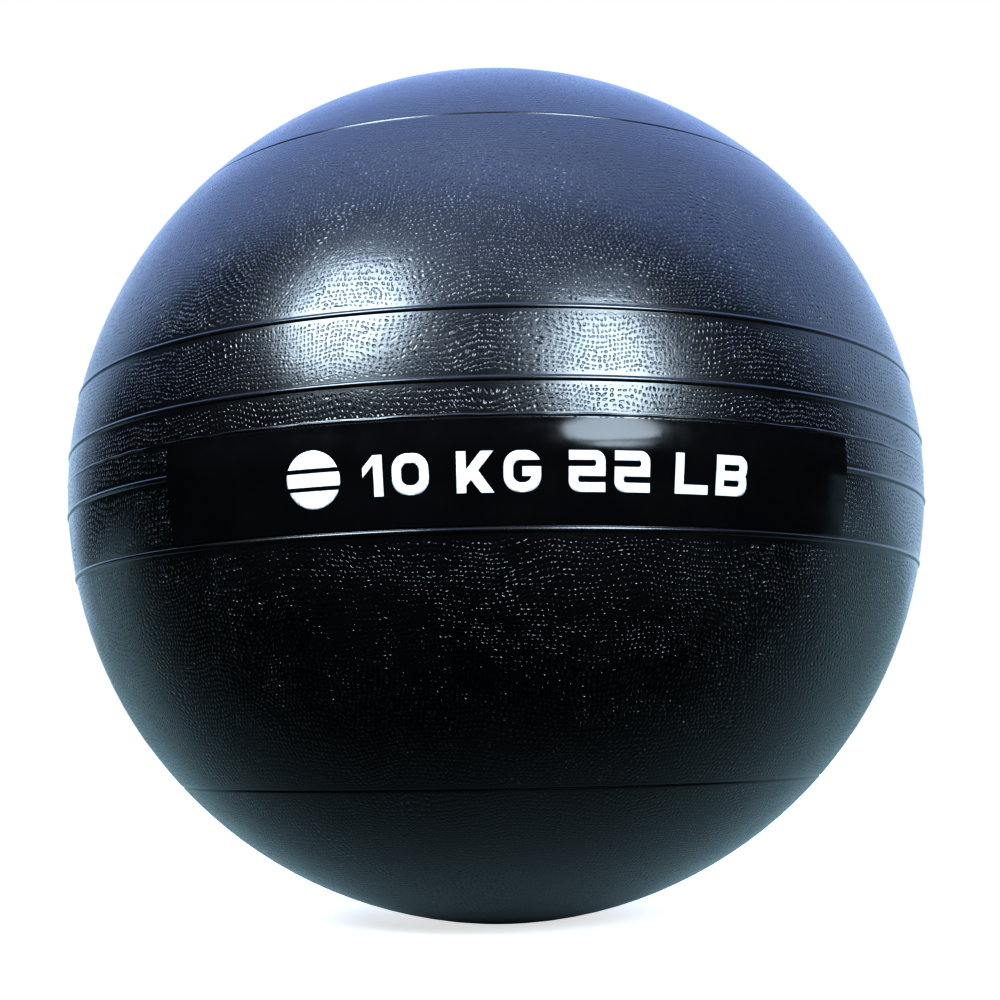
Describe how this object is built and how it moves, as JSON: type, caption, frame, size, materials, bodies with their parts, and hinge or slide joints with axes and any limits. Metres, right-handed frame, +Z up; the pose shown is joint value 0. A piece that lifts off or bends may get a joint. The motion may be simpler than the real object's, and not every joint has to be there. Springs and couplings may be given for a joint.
{
  "type": "medicine ball",
  "caption": "Black sand-filled medicine ball with a pebbled shell, raised rings about its middle, a top valve and a wrap label marked with its weight.",
  "frame": {"origin": "middle of the flat that the loaded ball stands on, where its moulding axis meets the floor", "axes": "+Z up the moulding axis towards the valve, -Y out through the middle of the label"},
  "size_m": [0.2304, 0.2308, 0.2294],
  "materials": {
    "shell_vinyl": "satin",
    "iron_sand": "matte",
    "plug_rubber": "satin",
    "valve_rubber": "matte",
    "label_film": "gloss",
    "white_ink": "satin"
  },
  "bodies": {
    "root": {"shell": "shell_vinyl", "sand_charge": "iron_sand", "valve_plug": "plug_rubber", "valve_core": "valve_rubber", "label_film": "label_film", "label_print": "white_ink"}
  },
  "joints": []
}
